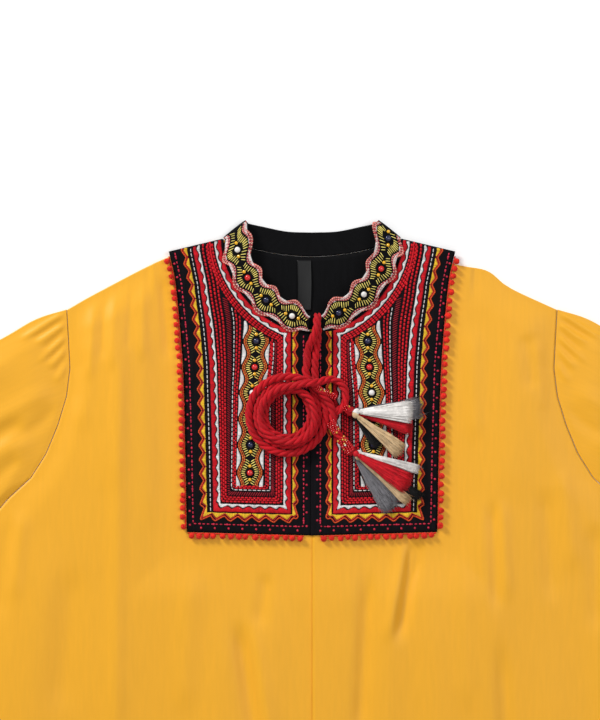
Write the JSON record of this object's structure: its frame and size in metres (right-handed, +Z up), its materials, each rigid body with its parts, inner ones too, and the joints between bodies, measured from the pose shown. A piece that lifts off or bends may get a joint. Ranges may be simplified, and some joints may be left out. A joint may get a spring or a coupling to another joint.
{
  "type": "embroidered mustard satin manteau with tasselled tie, laid flat",
  "caption": "Loose mustard satin manteau laid flat, front up, with a black embroidered bib and stand collar, red pompom edging and a red twisted tie ending in tassels.",
  "frame": {"origin": "middle of the garment's outline, on the surface it lies on", "axes": "+Z up off the surface, +Y towards the neck, +X towards the wearer's left sleeve"},
  "size_m": [1.1948, 1.0598, 0.0235],
  "materials": {
    "satin": "satin",
    "black_cloth": "matte",
    "black_satin": "gloss",
    "red_yarn": "matte",
    "white_yarn": "matte",
    "beige_yarn": "matte",
    "grey_yarn": "matte",
    "black_yarn": "matte"
  },
  "bodies": {
    "root": {"back": "satin", "front_right": "satin", "front_left": "satin", "sleeve_right": "satin", "sleeve_left": "satin", "collar": "black_cloth", "neck_facing": "black_cloth", "neck_label": "black_satin", "bib_right": "black_cloth", "bib_left": "black_cloth", "pompom_side_right": "red_yarn", "pompom_side_left": "red_yarn", "pompom_bottom_right": "red_yarn", "pompom_bottom_left": "red_yarn", "tie_coil": "red_yarn", "tie_drop_right": "red_yarn", "tie_drop_left": "red_yarn", "tie_loop": "red_yarn", "tie_end_lower": "red_yarn", "knot_loop": "red_yarn", "knot_upper": "red_yarn", "knot_lower": "red_yarn", "tassel_upper_grey": "grey_yarn", "tassel_upper_black": "black_yarn", "tassel_upper_red": "red_yarn", "tassel_upper_white": "white_yarn", "tassel_upper_beige": "beige_yarn", "tassel_lower_grey": "grey_yarn", "tassel_lower_white": "white_yarn", "tassel_lower_black": "black_yarn", "tassel_lower_beige": "beige_yarn", "tassel_lower_red": "red_yarn"}
  },
  "joints": []
}
